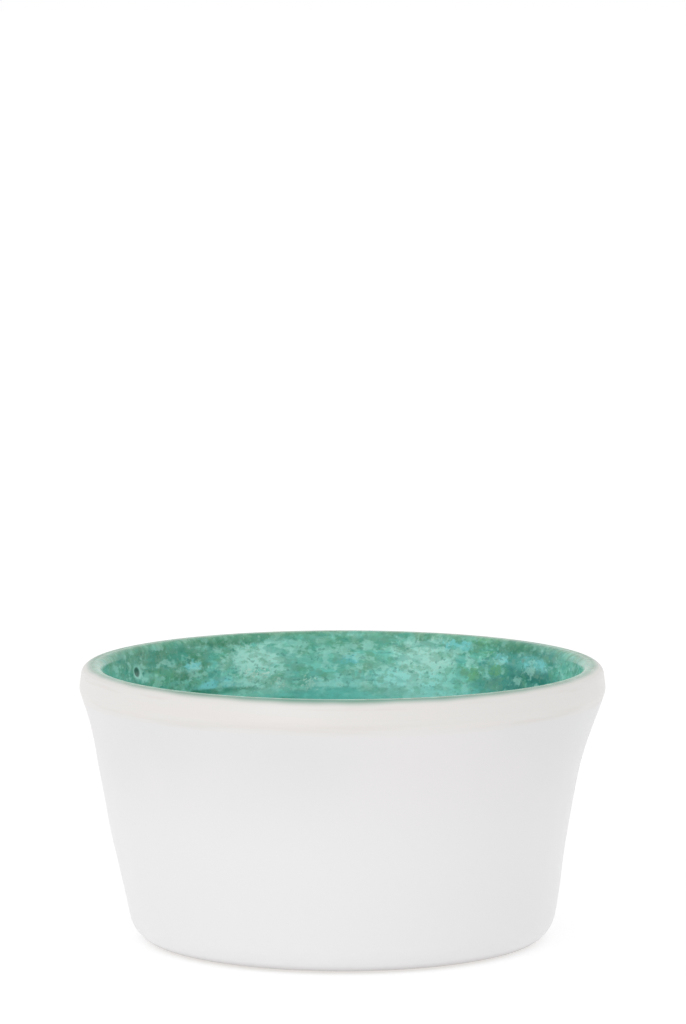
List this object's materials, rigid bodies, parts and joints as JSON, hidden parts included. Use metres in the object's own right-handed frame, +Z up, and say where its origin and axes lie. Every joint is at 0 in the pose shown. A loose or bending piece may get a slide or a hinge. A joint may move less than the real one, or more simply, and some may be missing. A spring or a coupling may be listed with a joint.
{
  "type": "ramekin",
  "caption": "Round one-portion ramekin with a tapered wall and a rolled lip, mottled sea-green glaze inside and plain white glaze outside.",
  "frame": {"origin": "on the axis of the ramekin, in the plane that its foot ring rests on", "axes": "+Z up along the axis, out of the mouth; +X and +Y are level, and the coloured coat's lap seam lies between them"},
  "size_m": [0.0898, 0.0898, 0.047],
  "materials": {
    "bare_stoneware": "matt fired clay",
    "sea_green_glaze": "glossy, mottled in teal, aqua, sage and olive",
    "ringed_green_glaze": "glossy, ringed in green and olive round a dark centre",
    "white_glaze": "smooth satin gloss"
  },
  "bodies": {
    "root": {"stoneware_body": "bare_stoneware", "wall_glaze": "sea_green_glaze", "floor_glaze": "ringed_green_glaze", "outer_glaze": "white_glaze", "foot_glaze": "white_glaze"}
  },
  "joints": []
}
